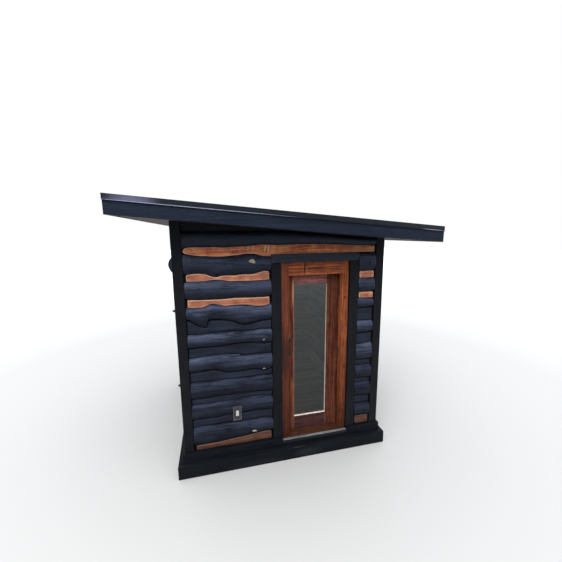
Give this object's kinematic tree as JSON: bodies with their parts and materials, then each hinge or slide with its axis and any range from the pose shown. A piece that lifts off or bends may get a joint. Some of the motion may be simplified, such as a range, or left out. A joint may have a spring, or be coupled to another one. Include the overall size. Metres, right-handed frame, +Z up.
{
  "type": "outdoor sauna",
  "caption": "Small log-faced cabin with a glazed hinged door under a single-slope metal roof, hollow inside on a boarded base.",
  "frame": {"origin": "centre of the base on the ground, under the middle of the cabin", "axes": "+X to the right along the front, +Y from the front to the back, +Z up"},
  "size_m": [2.498, 2.498, 2.3228],
  "materials": {
    "weathered_black_wood": "dark stain",
    "live_edge_wood": "oiled",
    "wall_lining": "planed",
    "framing": "sawn",
    "floor_boards": "planed",
    "soffit_boards": "planed",
    "door_wood": "oiled",
    "frame_wood": "oiled",
    "threshold_wood": "planed",
    "glass": "dark",
    "iron": "satin dark",
    "roof_metal": "gloss",
    "outlet_metal": "satin",
    "outlet_plastic": "matte"
  },
  "bodies": {
    "cabin": {"lower_base_front_back": "weathered_black_wood", "lower_base_sides": "weathered_black_wood", "upper_base_front_back": "weathered_black_wood", "upper_base_sides": "weathered_black_wood", "front_back_corner_boards": "weathered_black_wood", "side_corner_boards": "weathered_black_wood", "door_trim_sides": "weathered_black_wood", "door_trim_head": "weathered_black_wood", "front_siding_left": "weathered_black_wood", "front_siding_right": "weathered_black_wood", "back_siding": "weathered_black_wood", "left_siding": "weathered_black_wood", "right_siding": "weathered_black_wood", "top_boards": "weathered_black_wood", "fascias_rake": "weathered_black_wood", "fascias_eave": "weathered_black_wood", "front_strips": "live_edge_wood", "back_strips": "live_edge_wood", "side_strips": "live_edge_wood", "front_wall_left": "wall_lining", "front_wall_right": "wall_lining", "front_wall_over_door": "wall_lining", "back_wall": "wall_lining", "left_wall": "wall_lining", "right_wall": "wall_lining", "floor_joists": "framing", "rafters": "framing", "floor_deck": "floor_boards", "soffit": "soffit_boards", "roof_deck": "soffit_boards", "door_jambs": "frame_wood", "door_head": "frame_wood", "door_sill": "frame_wood", "door_threshold": "threshold_wood", "hinges_on_jamb": "iron", "roof_sheet": "roof_metal", "rake_trims": "roof_metal", "eave_trims": "roof_metal", "outlet_box": "outlet_metal", "outlet_insert": "outlet_plastic"},
    "door_leaf": {"door_stiles": "door_wood", "door_rails": "door_wood", "door_glass": "glass", "door_beads": "door_wood", "door_pull": "iron", "hinges_on_leaf": "iron"}
  },
  "joints": [
    {"name": "door_hinge", "type": "hinge", "parent": "cabin", "child": "door_leaf", "pos_m": [0.5184, -0.828, 0.9445], "axis": [0, 0, 1], "range_deg": [0, 95]}
  ]
}
